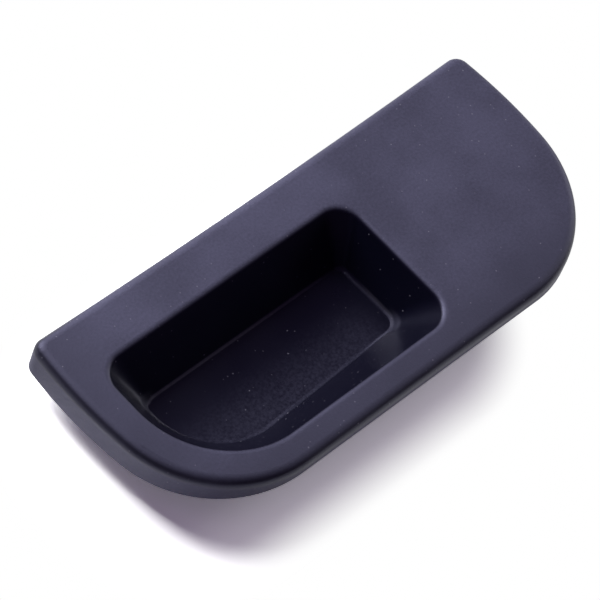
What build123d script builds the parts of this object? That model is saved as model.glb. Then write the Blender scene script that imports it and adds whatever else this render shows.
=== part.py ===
from build123d import *
import math
import os

# Hood release handle, moulded in one piece, in millimetres.
# The face looks up, the front edge is towards -Y, the finger pocket lies towards -X and the plain
# end with the pivot towards +X. The handle rests on the flat bottom of its pocket, at Z = 0.

# Outline of the face
back_length = 118.0  # back edge, between its two corners
depth = 51.0  # front edge to the back corners
back_bow = 0.65  # how far the back edge dips in at its middle
back_corner_radius = 3.0
end_radius = 110.0  # the ends are slightly bulged
end_lean = 7.8  # degrees by which an end leaves its back corner outwards
grip_corner_radius = 26.6  # front corner by the grip end
plain_corner_radius = 29.0  # front corner by the plain end

# Shell
wall = 2.2
edge_roll = 2.1  # rounding of the face's edge
end_skirt = 7.5  # height of the edge at the back and the ends
front_skirt = 3.7  # height of the edge along the front
nose_run = 38.0  # depth over which the skirt rises to the front
inner_round = 1.0  # between the plate and the inside of the skirt
inner_corner_radius = 2.0  # back corners, inside

# Finger pocket
pocket_length = 66.4
pocket_end_margin = 7.4
pocket_front_margin = 6.4
pocket_back_margin = 11.7
pocket_depth = 11.0
pocket_rim_round = 1.5
pocket_floor_round = 1.2
tub_round = 2.0  # outside of the pocket, round its bottom
rim_front_radius = 6.0  # front corner of the rim by the plain end
rim_back_share = 0.167  # of the rim's width: radius of the back corners
rim_grip_share = 0.65  # of the rim's width: radius of the front corner by the grip
floor_run_back = 7.6  # how far each wall slopes in on its way down
floor_run_front_plain = 8.6  # front wall, by the plain end
floor_run_front_grip = 6.1  # front wall, by the grip end
floor_run_plain = 4.2
floor_run_grip = 8.0
floor_front_radius = 3.0  # corners of the floor, as for the rim
floor_back_share = 0.1
floor_grip_share = 0.84

# Pivot ears and cable seat on the hidden side
rest_clearance = 0.4  # height of the ears and the seat above the bottom of the pocket
pivot_from_end = 20.0
pivot_bore_radius = 2.0
pivot_boss_wall = 1.8
pivot_span = 27.0  # over both ears
ear_thickness = 3.0
ear_root_length = 16.0
cable_to_pivot = 17.0
barrel_radius = 2.6
barrel_length = 9.0
wire_slot = 2.0
seat_wall = 1.5

# Stiffening ribs
rib_thickness = 1.6
rib_depth = 3.2  # below the plate
back_rib_pitch = 20.0
back_rib_count = 3

# Levels and places that follow from the sizes above
floor_level = wall
face_level = floor_level + pocket_depth
plate_level = face_level - wall
skirt_level = face_level - end_skirt
lip_level = face_level - front_skirt
half_depth = depth / 2
lean = math.radians(end_lean)
half_length = back_length / 2 + end_radius * (1 - math.cos(lean))
pocket_left = pocket_end_margin - half_length
pocket_right = pocket_left + pocket_length
pocket_front = pocket_front_margin - half_depth
pocket_back = half_depth - pocket_back_margin
pivot_boss_radius = pivot_bore_radius + pivot_boss_wall
pivot_x = half_length - pivot_from_end
pivot_level = rest_clearance + pivot_boss_radius
ear_middle = (pivot_span - ear_thickness) / 2
cable_x = pivot_x - cable_to_pivot
seat_half = barrel_radius + seat_wall
seat_level = rest_clearance + seat_half


def sharp_outline():
    """Plan of the face: bowed back edge, bulged ends, two large front corners."""
    back_left = Vector(-back_length / 2, half_depth)
    back_right = mirrored(back_left)
    left_bulge, left_join, left_bend, front_left = end_points(grip_corner_radius)
    right_bulge, right_join, right_bend, front_right = map(mirrored, end_points(plain_corner_radius))
    back = ThreePointArc(back_left, (0, half_depth - back_bow), back_right)
    left_end = ThreePointArc(back_left, left_bulge, left_join)
    left_corner = ThreePointArc(left_join, left_bend, front_left)
    front = Line(front_left, front_right)
    right_corner = ThreePointArc(front_right, right_bend, right_join)
    right_end = ThreePointArc(right_join, right_bulge, back_right)
    return make_face([back, left_end, left_corner, front, right_corner, right_end])


def end_points(corner_radius):
    """Points of the outline at the grip end, for a front corner of this radius.

    They are the widest point of the bulge, the join with the corner, the middle of the corner and its
    end on the front edge.
    """
    back_left = Vector(-back_length / 2, half_depth)
    end_centre = back_left + end_radius * Vector(math.cos(lean), -math.sin(lean))
    corner_y = corner_radius - half_depth
    reach = end_radius - corner_radius
    corner_x = end_centre.X - math.sqrt(reach**2 - (end_centre.Y - corner_y) ** 2)
    corner_centre = Vector(corner_x, corner_y)
    bulge = end_centre - Vector(end_radius, 0)
    join = end_centre + (corner_centre - end_centre).normalized() * end_radius
    turn = math.atan2(join.Y - corner_y, join.X - corner_x) % (2 * math.pi)
    half_turn = (turn + 1.5 * math.pi) / 2
    bend = corner_centre + corner_radius * Vector(math.cos(half_turn), math.sin(half_turn))
    return bulge, join, bend, Vector(corner_x, -half_depth)


def mirrored(point):
    """The same point at the plain end."""
    return Vector(-point.X, point.Y)


def rounded_block(outline, corner_radius, top, top_round):
    """The outline, with its back corners rounded, as a block with a rounded top edge."""
    plan = fillet(outline.vertices().group_by(Axis.Y)[-1], corner_radius)
    block = extrude(Pos(0, 0, top) * plan, amount=-end_skirt)
    return fillet(block.edges().group_by(Axis.Z)[-1], top_round)


def rolled_shell():
    """Plate with a rolled edge and a skirt, open underneath."""
    outline = sharp_outline()
    outside = rounded_block(outline, back_corner_radius, face_level, edge_roll)
    inside = rounded_block(offset(outline, amount=-wall), inner_corner_radius, plate_level, inner_round)
    return outside - inside - front_relief()


def front_relief():
    """Space under the front edge, where the skirt rises to the lip in a quarter ellipse."""
    nose_y = nose_run - half_depth
    below = skirt_level - wall
    ahead = -half_depth - wall
    drop = lip_level - skirt_level
    rise = EllipticalCenterArc((nose_y, lip_level), nose_run, drop, start_angle=180, arc_size=90)
    border = Polyline(rise @ 1, (nose_y, below), (ahead, below), (ahead, lip_level), rise @ 0)
    profile = make_face([rise, *border.edges()])
    return extrude(Plane.YZ * profile, amount=half_length + wall, both=True)


def pocket_plan(runs, front_radius, back_share, grip_share, grow):
    """Four sides with rounded corners, set in from the rim by runs and then out by grow.

    runs: back, front by the plain end, front by the grip end, plain end, grip end.
    """
    back, front_plain, front_grip, plain, grip = runs
    left = pocket_left + grip
    right = pocket_right - plain
    high = pocket_back - back
    low_left = Vector(left, pocket_front + front_grip)
    low_right = Vector(right, pocket_front + front_plain)
    width = high - low_left.Y
    plan = make_face(Polyline(low_left, low_right, (right, high), (left, high), close=True))
    plan = fillet(plan.vertices().sort_by_distance(low_left)[0], grip_share * width)
    plan = fillet(plan.vertices().sort_by_distance(low_right)[0], front_radius)
    plan = fillet(plan.vertices().group_by(Axis.Y)[-1], back_share * width)
    return offset(plan, amount=grow) if grow else plan


def sloped_pocket(top, bottom, grow, bottom_round):
    """Solid with sloping sides between the plan of the rim and that of the floor."""
    rim_runs = (0, 0, 0, 0, 0)
    rim = pocket_plan(rim_runs, rim_front_radius, rim_back_share, rim_grip_share, grow)
    floor_runs = (floor_run_back, floor_run_front_plain, floor_run_front_grip, floor_run_plain, floor_run_grip)
    floor = pocket_plan(floor_runs, floor_front_radius, floor_back_share, floor_grip_share, grow)
    body = loft([Pos(0, 0, top) * rim, Pos(0, 0, bottom) * floor], ruled=True)
    return fillet(body.edges().group_by(Axis.Z)[0], bottom_round)


def upright_rib(start, end, thickness, bottom, top):
    """Flat rib between two points in plan."""
    run = Line(start, end)
    plan = Rectangle(run.length, thickness)
    place = Pos(run @ 0.5) * Rot(0, 0, math.degrees(math.atan2(end[1] - start[1], end[0] - start[0])))
    return extrude(Pos(0, 0, bottom) * place * plan, amount=top - bottom)


def stiffening_ribs():
    """Ribs from the pocket to the skirt: along the plain end in line with the ears, and at the back."""
    bottom = plate_level - rib_depth
    top = plate_level + wall / 2
    ribs = [
        upright_rib((pocket_right, side), (half_length, side), rib_thickness, bottom, top)
        for side in (-ear_middle, ear_middle)
    ]
    pocket_middle = (pocket_left + pocket_right) / 2
    for index in range(back_rib_count):
        x = pocket_middle + (index - (back_rib_count - 1) / 2) * back_rib_pitch
        ribs.append(upright_rib((x, pocket_back), (x, half_depth), rib_thickness, bottom, top))
    to_mid_wall = extrude(offset(sharp_outline(), amount=-wall / 2), amount=face_level)
    return [rib & to_mid_wall for rib in ribs]


def pivot_ears():
    """Two lobes under the plate with one bore across both."""
    root = Line((-ear_root_length / 2, plate_level + wall / 2), (ear_root_length / 2, plate_level + wall / 2))
    boss = Pos(0, pivot_level) * Circle(pivot_boss_radius)
    lobe = make_hull([root, boss.edge()]) - Pos(0, pivot_level) * Circle(pivot_bore_radius)
    ear = extrude(Plane.XZ * lobe, amount=ear_thickness / 2, both=True)
    return [Pos(pivot_x, side, 0) * ear for side in (-ear_middle, ear_middle)]


def cable_seat():
    """Block that takes the barrel end of the release cable: a round seat with a slot for the wire."""
    height = plate_level + wall / 2 - rest_clearance
    side = 2 * seat_half
    length = barrel_length + seat_wall
    block = Box(side, length, height, align=(Align.CENTER, Align.CENTER, Align.MIN))
    barrel = Pos(0, seat_level - rest_clearance) * Circle(barrel_radius)
    slot_height = seat_level - rest_clearance
    slot = Pos(0, slot_height / 2) * Rectangle(wire_slot, slot_height)
    keyhole = extrude(Plane.XZ.offset(length / 2 - barrel_length) * (barrel + slot), amount=barrel_length)
    return Pos(cable_x, 0, rest_clearance) * (block - keyhole)


def hood_release_handle():
    """The whole moulding."""
    pocket = sloped_pocket(face_level, floor_level, 0, pocket_floor_round)
    tub = sloped_pocket(plate_level + wall / 2, 0, wall, tub_round)
    moulding = rolled_shell() + [tub, *stiffening_ribs(), *pivot_ears(), cable_seat()]
    moulding -= pocket
    top_face = moulding.faces().sort_by(Axis.Z)[-1]
    return fillet(top_face.inner_wires()[0].edges(), pocket_rim_round)


handle = hood_release_handle()
handle.label = "handle"
os.makedirs("parts", exist_ok=True)
export_step(handle, "parts/handle.step")
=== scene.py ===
import math

import bpy
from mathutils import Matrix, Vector


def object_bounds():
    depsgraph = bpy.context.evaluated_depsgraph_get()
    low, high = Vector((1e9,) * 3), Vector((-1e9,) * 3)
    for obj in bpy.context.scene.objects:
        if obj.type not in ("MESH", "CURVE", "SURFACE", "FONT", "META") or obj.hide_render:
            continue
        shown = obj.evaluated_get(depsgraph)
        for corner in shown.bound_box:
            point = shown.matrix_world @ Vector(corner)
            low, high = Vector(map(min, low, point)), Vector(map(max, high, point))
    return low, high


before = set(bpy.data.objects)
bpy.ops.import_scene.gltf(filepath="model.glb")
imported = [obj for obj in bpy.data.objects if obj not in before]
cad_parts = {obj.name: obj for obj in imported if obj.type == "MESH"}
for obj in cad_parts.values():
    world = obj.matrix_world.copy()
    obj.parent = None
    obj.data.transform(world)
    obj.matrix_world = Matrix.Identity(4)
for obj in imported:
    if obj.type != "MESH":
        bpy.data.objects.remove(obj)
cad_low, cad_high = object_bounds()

bl_info = {
    "name": "Hood Release Handle",
    "version": (1, 0, 0),
    "blender": (4, 5, 0),
    "location": "View3D > Sidebar > Handle",
    "description": "Finishes a moulded hood release handle and sets it on a pale table",
    "category": "Object",
}

# Places on the handle, in metres
FACE_LEVEL = cad_high.z
POCKET_LOW = (-0.0526, -0.0191)
POCKET_HIGH = (0.0138, 0.0138)
POCKET_CORNER = 0.0055
POCKET_GRIP_CORNER = 0.0214
FLOOR_LEVEL = 0.0022
FLOOR_LOW = (-0.0446, -0.0105)
FLOOR_HIGH = (0.0096, 0.0062)
FLOOR_CORNER = 0.003
FLOOR_GRIP_CORNER = 0.018
CREASE_WIDTH = 0.0004
DULL_CORNERS = ((-0.0440, 0.0056), (0.0087, -0.0096))
DULL_REACH = 0.0036

# Where each mask starts and where it is full, as heights, places in plan or distances from the rim, in metres
BELOW_FACE = (FACE_LEVEL - 0.00002, FACE_LEVEL - 0.0007)
INSIDE_RIM = (0.0006, -0.0002)
CREASE_HEIGHT = (FLOOR_LEVEL + 0.0012, FLOOR_LEVEL + 0.0005)
BACK_CREASE_X = (0.009, -0.004)
BACK_CREASE_Y = (0.0052, 0.0056)
PLAIN_CREASE_X = (0.0072, 0.0084)
PLAIN_CREASE_Y = (0.0022, -0.004)
SKIRT_FROM_RIM = (0.002, 0.005)
FLOOR_HEIGHT = (FLOOR_LEVEL + 0.0007, FLOOR_LEVEL + 0.0001)
# Painted light on the pocket's floor: none at the back, where the back wall shades it, full towards the
# front, fading towards the plain end.
FLOOR_LIGHT_X = (0.0105, 0.0)
FLOOR_LIGHT_Y = (0.002, -0.011)
# Painted shade, darker towards the front and the grip end.
FRONT_SHADE_X = (-0.040, -0.059)
FRONT_SHADE_Y = (-0.010, -0.024)
ROUNDING_BOTTOM = (FLOOR_LEVEL + 0.00001, FLOOR_LEVEL + 0.0001)
ROUNDING_TOP = (FLOOR_LEVEL + 0.0022, FLOOR_LEVEL + 0.0009)
# Band of painted shade on the rolled edge.
ROLL_TOP = (FACE_LEVEL - 0.0001, FACE_LEVEL - 0.0007)
ROLL_BOTTOM = (FACE_LEVEL - 0.0027, FACE_LEVEL - 0.0016)
ROLL_FROM_RIM = (0.002, 0.004)

# The same for the upward part of the surface's direction, which keeps the finish off the hidden side
LOOKS_UP = (0.0, 0.15)
NOT_UNDER = (-0.3, -0.05)

# Grain, mottling and specks
GRAIN_DETAIL = 4.0
GRAIN_ROUGHNESS = 0.65
CLOUD_SCALE = 70.0
CLOUD_DETAIL = 5.0
CLOUD_RANGE = (0.3, 0.7)
CLOUD_SHARE = 0.25
GRAIN_SHARE = 0.75
SPECK_RADIUS = (0.17, 0.07)
SPECK_CHANCE = (0.72, 0.92)

# Brightness of each zone against the face colour, and how strongly it covers what lies under it
FACE_TONES = (0.4, 1.6)
EDGE_TONES = (0.6, 1.4)
# Strength of the painted shade towards the front and grip end.
FRONT_SHADE_TONE = 0.55
FRONT_SHADE_COVER = 0.7
# Strength of the painted dark band on the rolled edge.
ROLL_SHADE_TONE = 0.2
ROLL_SHADE_COVER = 0.9
# Grain and strength of the painted light on the pocket's floor.
FLOOR_LIGHT_GRAIN = (0.25, 0.75)
FLOOR_LIGHT_COVER = (0.2, 0.6)
# Strength of the pale line in the creases.
PLAIN_CREASE_COVER = 0.35
CREASE_COVER = 0.3
SPECK_COVER = 0.7

# Gloss
DULL_ROUGHENING = 0.4
ROLL_ROUGHENING = -0.2
CLOUD_ROUGHENING = 0.05
POCKET_GRAIN_LOSS = -0.75
SPECULAR_LEVEL = 0.5
SPECULAR_TINT = (0.66, 0.65, 1.0, 1.0)

# Lamps, each with its direction from the handle, distance, width and height in metres, and power in watts
LAMPS = {
    "window": ((-0.10, 0.78, 0.61), 0.45, 0.2, 0.28, 3.35),
    "side": ((0.94, -0.12, 0.30), 1.0, 0.45, 0.3, 3.4),
}
ROOM_COLOUR = (0.8, 0.5, 1.0, 1.0)
ROOM_STRENGTH = 0.08
WHITE = (1.0, 1.0, 1.0, 1.0)

# Gap between the handle and the table, and the part of the table that keeps the shadow, in metres
TABLE_GAP = 0.00002
SHADOW_LOW = (-0.066, -0.026)
SHADOW_HIGH = (0.028, 0.022)
SHADOW_CORNER = 0.02
SHADOW_REACH = 0.012
SHADOW_LIFT = 0.09


class MouldingFinish(bpy.types.PropertyGroup):
    """Colour and surface of the moulded plastic, with the painted shade and light on it."""

    face_colour: bpy.props.FloatVectorProperty(
        name="Face colour",
        description="Colour of the etched face and edges",
        subtype="COLOR",
        size=3,
        min=0.0,
        max=1.0,
        default=(0.0475, 0.0465, 0.078),
    )
    # The pocket colour is partly the smoother bare plastic's own dark tone and partly painted shade, which
    # keeps the recess far darker than the face.
    pocket_colour_and_shade: bpy.props.FloatVectorProperty(
        name="Pocket colour and shade",
        description="Colour of the bare plastic in the finger pocket",
        subtype="COLOR",
        size=3,
        min=0.0,
        max=1.0,
        default=(0.0022, 0.0022, 0.0075),
    )
    # Colour of the painted light on the front of the pocket's floor.
    floor_light_colour: bpy.props.FloatVectorProperty(
        name="Floor light colour",
        description="Colour of the thin dust towards the front of the pocket's floor",
        subtype="COLOR",
        size=3,
        min=0.0,
        max=1.0,
        default=(0.034, 0.034, 0.056),
    )
    # Colour of the loose dust specks and of the pale line in the back and plain-end creases of the pocket's
    # floor.
    speck_and_line_colour: bpy.props.FloatVectorProperty(
        name="Speck and line colour",
        description="Colour of the dust in the pocket's creases and of the loose specks",
        subtype="COLOR",
        size=3,
        min=0.0,
        max=1.0,
        default=(0.16, 0.155, 0.2),
    )
    edge_wear: bpy.props.FloatProperty(
        name="Edge wear",
        description="Brightness of the rolled edge and the skirt against that of the face",
        min=0.0,
        default=1.0,
    )
    face_roughness: bpy.props.FloatProperty(
        name="Face roughness",
        description="Roughness of the etched face and edges",
        subtype="FACTOR",
        min=0.0,
        max=1.0,
        default=0.56,
    )
    pocket_roughness: bpy.props.FloatProperty(
        name="Pocket roughness",
        description="Roughness of the smoother plastic in the finger pocket",
        subtype="FACTOR",
        min=0.0,
        max=1.0,
        default=0.27,
    )
    grain_size: bpy.props.FloatProperty(
        name="Grain size",
        description="Width of one grain of the etched surface",
        subtype="DISTANCE",
        unit="LENGTH",
        default=0.0006,
    )
    grain_depth: bpy.props.FloatProperty(
        name="Grain depth",
        description="Depth of the etched grain",
        subtype="DISTANCE",
        unit="LENGTH",
        default=0.00004,
    )
    speck_spacing: bpy.props.FloatProperty(
        name="Speck spacing",
        description="Distance between places where a speck of dust may lie",
        subtype="DISTANCE",
        unit="LENGTH",
        default=0.0012,
    )


class TableSetup(bpy.types.PropertyGroup):
    """Table, lamps and camera."""

    table_colour: bpy.props.FloatVectorProperty(
        name="Table colour",
        description="Colour of the pale table top",
        subtype="COLOR",
        size=3,
        min=0.0,
        max=1.0,
        default=(0.9, 0.9, 0.9),
    )
    table_gain: bpy.props.FloatProperty(
        name="Table gain",
        description="How much brighter the table shows to the camera and in reflections",
        min=1.0,
        default=2.5,
    )
    table_width: bpy.props.FloatProperty(
        name="Table width",
        description="Side of the square table top",
        subtype="DISTANCE",
        unit="LENGTH",
        default=6.0,
    )
    camera_place: bpy.props.FloatVectorProperty(
        name="Camera place",
        description="Where the camera stands",
        subtype="XYZ",
        unit="LENGTH",
        size=3,
        default=(-0.45666, -0.22392, 0.71973),
    )
    camera_turn: bpy.props.FloatVectorProperty(
        name="Camera turn",
        description="How the camera is turned",
        subtype="EULER",
        unit="ROTATION",
        size=3,
        default=(math.radians(33.1038), math.radians(-13.0974), math.radians(-44.0622)),
    )
    camera_lens: bpy.props.FloatProperty(
        name="Lens",
        description="Focal length in millimetres on a 36 mm wide sensor",
        default=270.0,
    )


def node_at(tree, kind, x, y, **values):
    """A node at a place in the node editor, with some of its settings."""
    node = tree.nodes.new(kind)
    node.location = (x, y)
    for name, value in values.items():
        setattr(node, name, value)
    return node


def empty_material(name):
    """A material with nodes and nothing in it but its output."""
    material = bpy.data.materials.new(name)
    material.use_nodes = True
    material.node_tree.nodes.clear()
    output = node_at(material.node_tree, "ShaderNodeOutputMaterial", 900, 0)
    return material, material.node_tree, output


def value_of(tree, operation, first, second=None, third=None, clamp=False):
    """A Math node on sockets or numbers, and its result."""
    node = tree.nodes.new("ShaderNodeMath")
    node.operation = operation
    node.use_clamp = clamp
    for socket, given in zip(node.inputs, (first, second, third)):
        if isinstance(given, bpy.types.NodeSocket):
            tree.links.new(given, socket)
        elif given is not None:
            socket.default_value = given
    return node.outputs["Value"]


def ramp_of(tree, value, start, end):
    """0 at start and 1 at end, with soft ends. start may be the larger."""
    node = tree.nodes.new("ShaderNodeMapRange")
    node.interpolation_type = "SMOOTHSTEP"
    tree.links.new(value, node.inputs["Value"])
    node.inputs["From Min"].default_value = start
    node.inputs["From Max"].default_value = end
    return node.outputs["Result"]


def rounded_distance(tree, x, y, low, high, corner, grip_corner):
    """Distance outside a rectangle in plan, negative inside.

    Its corner at low has a rounding of its own.
    """
    middle_x, middle_y = ((a + b) / 2 for a, b in zip(low, high))
    by_grip = value_of(
        tree, "MULTIPLY", value_of(tree, "LESS_THAN", x, middle_x), value_of(tree, "LESS_THAN", y, middle_y)
    )
    radius = value_of(tree, "MULTIPLY_ADD", by_grip, grip_corner - corner, corner)
    past_x = value_of(tree, "ABSOLUTE", value_of(tree, "SUBTRACT", x, middle_x))
    past_y = value_of(tree, "ABSOLUTE", value_of(tree, "SUBTRACT", y, middle_y))
    past_x = value_of(tree, "ADD", value_of(tree, "SUBTRACT", past_x, (high[0] - low[0]) / 2), radius)
    past_y = value_of(tree, "ADD", value_of(tree, "SUBTRACT", past_y, (high[1] - low[1]) / 2), radius)
    square_x = value_of(tree, "POWER", value_of(tree, "MAXIMUM", past_x, 0.0), 2.0)
    square_y = value_of(tree, "POWER", value_of(tree, "MAXIMUM", past_y, 0.0), 2.0)
    outside = value_of(tree, "SQRT", value_of(tree, "ADD", square_x, square_y))
    inside = value_of(tree, "MINIMUM", value_of(tree, "MAXIMUM", past_x, past_y), 0.0)
    return value_of(tree, "SUBTRACT", value_of(tree, "ADD", outside, inside), radius)


def nearness(tree, x, y, place, reach):
    """1 close to a place in plan, falling to 0 at reach."""
    square_x = value_of(tree, "POWER", value_of(tree, "SUBTRACT", x, place[0]), 2.0)
    square_y = value_of(tree, "POWER", value_of(tree, "SUBTRACT", y, place[1]), 2.0)
    away = value_of(tree, "SQRT", value_of(tree, "ADD", square_x, square_y))
    return ramp_of(tree, away, reach, reach / 3)


def new_group(name, inputs, outputs):
    """An empty node group with named sockets, given as (name, socket type)."""
    group = bpy.data.node_groups.new(name, "ShaderNodeTree")
    for label, kind in inputs:
        group.interface.new_socket(name=label, in_out="INPUT", socket_type=kind)
    for label, kind in outputs:
        group.interface.new_socket(name=label, in_out="OUTPUT", socket_type=kind)
    start = node_at(group, "NodeGroupInput", -900, 0)
    end = node_at(group, "NodeGroupOutput", 900, 0)
    return group, start, end


def pocket_group():
    """Masks for the finger pocket, the pale lines in its creases, the painted light on its floor and its
    dulled corners, the outer edge, the painted shade towards the front and grip end, and the band of painted
    shade on the rolled edge.
    """
    masks = ("Pocket", "Crease", "Edge", "Lit floor", "Front shade", "Roll", "Dull")
    group, start, end = new_group(
        "finger_pocket",
        [("Place", "NodeSocketVector"), ("Facing", "NodeSocketVector")],
        [(name, "NodeSocketFloat") for name in masks],
    )
    split = node_at(group, "ShaderNodeSeparateXYZ", -700, 0)
    group.links.new(start.outputs["Place"], split.inputs["Vector"])
    x, y, z = (split.outputs[axis] for axis in "XYZ")
    facing = node_at(group, "ShaderNodeSeparateXYZ", -700, -200)
    group.links.new(start.outputs["Facing"], facing.inputs["Vector"])

    def ramp(value, ends):
        return ramp_of(group, value, *ends)

    def both(first, second):
        return value_of(group, "MULTIPLY", first, second)

    looks_up = ramp(facing.outputs["Z"], LOOKS_UP)
    not_under = ramp(facing.outputs["Z"], NOT_UNDER)
    from_rim = rounded_distance(
        group, x, y, POCKET_LOW, POCKET_HIGH, POCKET_CORNER, POCKET_GRIP_CORNER
    )
    below_face = ramp(z, BELOW_FACE)
    pocket = both(both(ramp(from_rim, INSIDE_RIM), looks_up), below_face)
    from_floor = rounded_distance(
        group, x, y, FLOOR_LOW, FLOOR_HIGH, FLOOR_CORNER, FLOOR_GRIP_CORNER
    )
    line = ramp(value_of(group, "ABSOLUTE", from_floor), (CREASE_WIDTH, CREASE_WIDTH / 4))
    back = both(ramp(y, BACK_CREASE_Y), ramp(x, BACK_CREASE_X))
    plain = both(ramp(x, PLAIN_CREASE_X), ramp(y, PLAIN_CREASE_Y))
    sides = value_of(group, "MAXIMUM", back, both(plain, PLAIN_CREASE_COVER))
    crease = both(both(line, ramp(z, CREASE_HEIGHT)), sides)
    on_floor = both(ramp(z, FLOOR_HEIGHT), pocket)
    # Painted light, brighter towards the front of the floor.
    floor_light = both(ramp(y, FLOOR_LIGHT_Y), ramp(x, FLOOR_LIGHT_X))
    # Painted shade towards the front and grip end; it also bounds the band of painted shade on the rolled
    # edge.
    front_and_grip_end = value_of(group, "MAXIMUM", ramp(y, FRONT_SHADE_Y), ramp(x, FRONT_SHADE_X))
    first, second = (nearness(group, x, y, corner, DULL_REACH) for corner in DULL_CORNERS)
    rounding = both(ramp(z, ROUNDING_BOTTOM), ramp(z, ROUNDING_TOP))
    dull = both(value_of(group, "MAXIMUM", first, second), rounding)
    # The rolled edge, which takes a band of painted shade and a smoother finish.
    roll = both(both(ramp(z, ROLL_TOP), ramp(z, ROLL_BOTTOM)), not_under)
    outside = both(ramp(from_rim, ROLL_FROM_RIM), front_and_grip_end)
    results = {
        "Pocket": pocket,
        "Crease": both(crease, looks_up),
        "Edge": both(ramp(from_rim, SKIRT_FROM_RIM), below_face),
        "Lit floor": both(on_floor, floor_light),
        "Front shade": front_and_grip_end,
        "Roll": both(roll, outside),
        "Dull": both(dull, pocket),
    }
    for name in masks:
        group.links.new(results[name], end.inputs[name])
    return group


def grain_group():
    """Fine etched grain, slow cloudiness and loose specks of dust."""
    group, start, end = new_group(
        "etched_grain",
        [
            ("Place", "NodeSocketVector"),
            ("Grain size", "NodeSocketFloat"),
            ("Speck spacing", "NodeSocketFloat"),
        ],
        [("Height", "NodeSocketFloat"), ("Cloud", "NodeSocketFloat"), ("Speck", "NodeSocketFloat")],
    )
    grain = node_at(group, "ShaderNodeTexNoise", 0, 300)
    grain.inputs["Detail"].default_value = GRAIN_DETAIL
    grain.inputs["Roughness"].default_value = GRAIN_ROUGHNESS
    cloud = node_at(group, "ShaderNodeTexNoise", 0, 0)
    cloud.inputs["Scale"].default_value = CLOUD_SCALE
    cloud.inputs["Detail"].default_value = CLOUD_DETAIL
    cells = node_at(group, "ShaderNodeTexVoronoi", 0, -300)
    cells.inputs["Randomness"].default_value = 1.0
    for texture in (grain, cloud, cells):
        group.links.new(start.outputs["Place"], texture.inputs["Vector"])
    group.links.new(value_of(group, "DIVIDE", 1.0, start.outputs["Grain size"]), grain.inputs["Scale"])
    group.links.new(value_of(group, "DIVIDE", 1.0, start.outputs["Speck spacing"]), cells.inputs["Scale"])
    chance = node_at(group, "ShaderNodeSeparateColor", 250, -400)
    group.links.new(cells.outputs["Color"], chance.inputs["Color"])
    dot = ramp_of(group, cells.outputs["Distance"], *SPECK_RADIUS)
    rare = ramp_of(group, chance.outputs["Red"], *SPECK_CHANCE)
    group.links.new(grain.outputs["Fac"], end.inputs["Height"])
    group.links.new(cloud.outputs["Fac"], end.inputs["Cloud"])
    group.links.new(value_of(group, "MULTIPLY", dot, rare), end.inputs["Speck"])
    return group


def mixed_colour(tree, share, first, second):
    """A colour between two, each a socket or a fixed colour."""
    node = tree.nodes.new("ShaderNodeMix")
    node.data_type = "RGBA"
    tree.links.new(share, node.inputs["Factor"])
    for socket, given in ((node.inputs["A"], first), (node.inputs["B"], second)):
        if isinstance(given, bpy.types.NodeSocket):
            tree.links.new(given, socket)
        else:
            socket.default_value = (*given, 1.0)
    return node.outputs["Result"]


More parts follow.
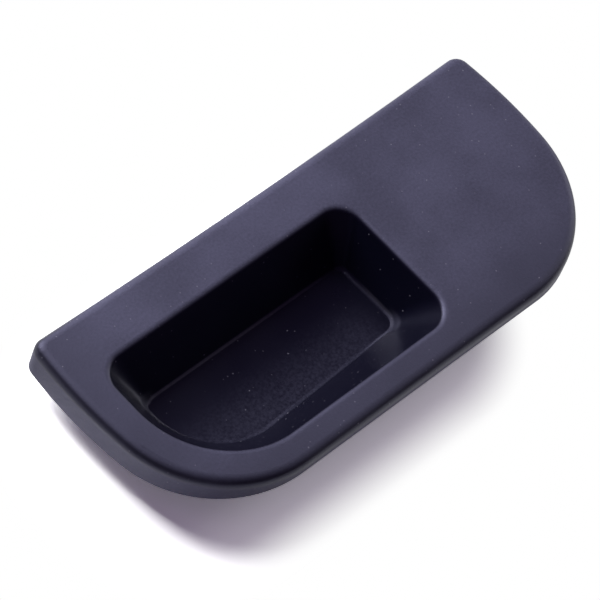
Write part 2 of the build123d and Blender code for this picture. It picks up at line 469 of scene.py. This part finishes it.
def etched_plastic(finish):
    """Dark plastic, etched outside and smoother in the pocket, with loose specks of dust and pale lines in
    the pocket's creases. Painted shade darkens the pocket, the part towards the front and grip end and a band
    on the rolled edge; painted light brightens the front of the pocket's floor.
    """
    material, tree, output = empty_material("etched_plastic")
    links = tree.links
    surface = node_at(tree, "ShaderNodeBsdfPrincipled", 600, 0)
    place = node_at(tree, "ShaderNodeTexCoord", -900, 0)
    pocket = node_at(tree, "ShaderNodeGroup", -600, 200, node_tree=pocket_group())
    grain = node_at(tree, "ShaderNodeGroup", -600, -200, node_tree=grain_group())
    grain.inputs["Grain size"].default_value = finish.grain_size
    grain.inputs["Speck spacing"].default_value = finish.speck_spacing
    links.new(place.outputs["Object"], pocket.inputs["Place"])
    links.new(place.outputs["Normal"], pocket.inputs["Facing"])
    links.new(place.outputs["Object"], grain.inputs["Place"])
    inside = pocket.outputs["Pocket"]
    height = grain.outputs["Height"]

    def toned(share):
        return [channel * share for channel in finish.face_colour]

    cloud = ramp_of(tree, grain.outputs["Cloud"], *CLOUD_RANGE)
    mottle = value_of(
        tree, "MULTIPLY_ADD", cloud, CLOUD_SHARE, value_of(tree, "MULTIPLY", height, GRAIN_SHARE)
    )
    rubbed = mixed_colour(tree, mottle, *(toned(tone * finish.edge_wear) for tone in EDGE_TONES))
    # Painted shade, darker towards the front and grip end.
    front_shade = value_of(tree, "MULTIPLY", pocket.outputs["Front shade"], FRONT_SHADE_COVER)
    mottled = mixed_colour(tree, mottle, *map(toned, FACE_TONES))
    plain = mixed_colour(tree, front_shade, mottled, toned(FRONT_SHADE_TONE))
    face = mixed_colour(tree, pocket.outputs["Edge"], plain, rubbed)
    # Painted shade: a dark band along the rolled edge.
    roll_shade = value_of(tree, "MULTIPLY", pocket.outputs["Roll"], ROLL_SHADE_COVER)
    face = mixed_colour(tree, roll_shade, face, toned(ROLL_SHADE_TONE))
    # Painted light on the front of the pocket's floor, broken up by the grain.
    light_least, light_most = FLOOR_LIGHT_COVER
    light_grains = value_of(tree, "MULTIPLY_ADD", ramp_of(tree, height, *FLOOR_LIGHT_GRAIN), light_most, light_least)
    floor_light = value_of(tree, "MULTIPLY", pocket.outputs["Lit floor"], light_grains)
    pocket_shade_and_floor_light = mixed_colour(tree, floor_light, finish.pocket_colour_and_shade, finish.floor_light_colour)
    # Face colour outside the pocket; inside it, the pocket's own colour darkened by painted shade, with
    # painted light on its floor.
    with_shaded_pocket = mixed_colour(tree, inside, face, pocket_shade_and_floor_light)
    # A pale line in the back and plain-end creases of the floor, and loose specks of dust.
    in_creases = value_of(tree, "MULTIPLY", pocket.outputs["Crease"], CREASE_COVER)
    specks = value_of(tree, "MULTIPLY", grain.outputs["Speck"], SPECK_COVER)
    specks_and_lines = value_of(tree, "ADD", in_creases, specks, clamp=True)
    links.new(mixed_colour(tree, specks_and_lines, with_shaded_pocket, finish.speck_and_line_colour), surface.inputs["Base Color"])
    smoothing = finish.pocket_roughness - finish.face_roughness
    rough = value_of(tree, "ADD", value_of(tree, "MULTIPLY", inside, smoothing), finish.face_roughness)
    for mask, change in (
        (pocket.outputs["Dull"], DULL_ROUGHENING),
        (pocket.outputs["Roll"], ROLL_ROUGHENING),
        (cloud, CLOUD_ROUGHENING),
    ):
        rough = value_of(tree, "MULTIPLY_ADD", mask, change, rough)
    links.new(rough, surface.inputs["Roughness"])
    surface.inputs["Specular IOR Level"].default_value = SPECULAR_LEVEL
    surface.inputs["Specular Tint"].default_value = SPECULAR_TINT
    bump = node_at(tree, "ShaderNodeBump", 300, -300)
    bump.inputs["Distance"].default_value = finish.grain_depth
    depth = value_of(tree, "MULTIPLY_ADD", inside, POCKET_GRAIN_LOSS, 1.0)
    links.new(value_of(tree, "MULTIPLY", height, depth), bump.inputs["Height"])
    links.new(bump.outputs["Normal"], surface.inputs["Normal"])
    links.new(surface.outputs["BSDF"], output.inputs["Surface"])
    return material


def pale_table(setup):
    """White table top that keeps the shadow near the handle and is plain white further out."""
    material, tree, output = empty_material("pale_table")
    links = tree.links
    lit = node_at(tree, "ShaderNodeBsdfDiffuse", 300, 100)
    bright = [channel * setup.table_gain for channel in setup.table_colour]
    white = node_at(tree, "ShaderNodeEmission", 300, -100)
    white.inputs["Strength"].default_value = 1.0
    place = node_at(tree, "ShaderNodeTexCoord", -900, 0)
    split = node_at(tree, "ShaderNodeSeparateXYZ", -700, 0)
    links.new(place.outputs["Object"], split.inputs["Vector"])
    x, y = split.outputs["X"], split.outputs["Y"]
    from_handle = rounded_distance(tree, x, y, SHADOW_LOW, SHADOW_HIGH, SHADOW_CORNER, SHADOW_CORNER)
    far = ramp_of(tree, from_handle, 0.0, SHADOW_REACH)
    far = value_of(tree, "MULTIPLY_ADD", far, 1.0 - SHADOW_LIFT, SHADOW_LIFT)
    ray = node_at(tree, "ShaderNodeLightPath", -500, 300)
    seen = node_at(tree, "ShaderNodeMath", -300, 300, operation="MAXIMUM")
    clear = node_at(tree, "ShaderNodeMath", 0, 200, operation="MULTIPLY")
    mix = node_at(tree, "ShaderNodeMixShader", 600, 0)
    links.new(ray.outputs["Is Camera Ray"], seen.inputs[0])
    links.new(ray.outputs["Is Glossy Ray"], seen.inputs[1])
    links.new(mixed_colour(tree, seen.outputs["Value"], setup.table_colour, bright), lit.inputs["Color"])
    links.new(far, clear.inputs[0])
    links.new(seen.outputs["Value"], clear.inputs[1])
    links.new(clear.outputs["Value"], mix.inputs["Fac"])
    links.new(lit.outputs["BSDF"], mix.inputs[1])
    links.new(white.outputs["Emission"], mix.inputs[2])
    side = node_at(tree, "ShaderNodeNewGeometry", 300, 300)
    clear_below = node_at(tree, "ShaderNodeBsdfTransparent", 600, -150)
    one_sided = node_at(tree, "ShaderNodeMixShader", 750, 0)
    links.new(side.outputs["Backfacing"], one_sided.inputs["Fac"])
    links.new(mix.outputs["Shader"], one_sided.inputs[1])
    links.new(clear_below.outputs["BSDF"], one_sided.inputs[2])
    links.new(one_sided.outputs["Shader"], output.inputs["Surface"])
    return material


def soft_lamp(name, direction, distance, width, height, power):
    """A rectangular softbox that looks at the handle."""
    data = bpy.data.lights.new(name, "AREA")
    data.shape = "RECTANGLE"
    data.size = width
    data.size_y = height
    data.energy = power
    lamp = bpy.data.objects.new(name, data)
    bpy.context.scene.collection.objects.link(lamp)
    away = Vector(direction).normalized()
    lamp.location = away * distance
    lamp.rotation_euler = away.to_track_quat("Z", "Y").to_euler()


class FinishMoulding(bpy.types.Operator):
    """Gives the handle its etched plastic"""

    bl_idname = "hood_handle.finish_moulding"
    bl_label = "Finish moulding"

    def execute(self, context):
        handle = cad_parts["handle"]
        handle.data.materials.clear()
        handle.data.materials.append(etched_plastic(context.scene.moulding_finish))
        return {"FINISHED"}


class SetTable(bpy.types.Operator):
    """Puts down the table, the lamps and the camera"""

    bl_idname = "hood_handle.set_table"
    bl_label = "Set table"

    def execute(self, context):
        setup = context.scene.table_setup
        bpy.ops.object.select_all(action="DESELECT")
        bpy.ops.mesh.primitive_plane_add(size=setup.table_width, location=(0.0, 0.0, -TABLE_GAP))
        table = context.active_object
        table.name = "table"
        table.data.materials.append(pale_table(setup))
        for name, settings in LAMPS.items():
            soft_lamp(name, *settings)
        world = bpy.data.worlds.new("room")
        world.use_nodes = True
        context.scene.world = world
        tree = world.node_tree
        tree.nodes.clear()
        ray = node_at(tree, "ShaderNodeLightPath", -300, 200)
        dim = node_at(tree, "ShaderNodeBackground", -300, 0)
        dim.inputs["Color"].default_value = ROOM_COLOUR
        dim.inputs["Strength"].default_value = ROOM_STRENGTH
        white = node_at(tree, "ShaderNodeBackground", -300, -150)
        white.inputs["Color"].default_value = WHITE
        mix = node_at(tree, "ShaderNodeMixShader", 0, 0)
        output = node_at(tree, "ShaderNodeOutputWorld", 300, 0)
        tree.links.new(ray.outputs["Is Camera Ray"], mix.inputs["Fac"])
        tree.links.new(dim.outputs["Background"], mix.inputs[1])
        tree.links.new(white.outputs["Background"], mix.inputs[2])
        tree.links.new(mix.outputs["Shader"], output.inputs["Surface"])
        camera_data = bpy.data.cameras.new("camera")
        camera_data.lens = setup.camera_lens
        camera = bpy.data.objects.new("camera", camera_data)
        context.scene.collection.objects.link(camera)
        camera.location = setup.camera_place
        camera.rotation_euler = setup.camera_turn
        context.scene.camera = camera
        context.scene.view_settings.view_transform = "Standard"
        return {"FINISHED"}


class HandlePanel(bpy.types.Panel):
    """Settings of the handle and its table"""

    bl_idname = "VIEW3D_PT_hood_handle"
    bl_label = "Hood Release Handle"
    bl_space_type = "VIEW_3D"
    bl_region_type = "UI"
    bl_category = "Handle"

    def draw(self, context):
        layout = self.layout
        for group in (context.scene.moulding_finish, context.scene.table_setup):
            box = layout.box()
            for name in group.__annotations__:
                box.prop(group, name)
        layout.operator(FinishMoulding.bl_idname)
        layout.operator(SetTable.bl_idname)


CLASSES = (MouldingFinish, TableSetup, FinishMoulding, SetTable, HandlePanel)


def register():
    for each in CLASSES:
        bpy.utils.register_class(each)
    bpy.types.Scene.moulding_finish = bpy.props.PointerProperty(type=MouldingFinish)
    bpy.types.Scene.table_setup = bpy.props.PointerProperty(type=TableSetup)


def unregister():
    del bpy.types.Scene.table_setup
    del bpy.types.Scene.moulding_finish
    for each in reversed(CLASSES):
        bpy.utils.unregister_class(each)


def main():
    register()
    bpy.ops.hood_handle.finish_moulding()
    bpy.ops.hood_handle.set_table()


if __name__ == "__main__":
    main()
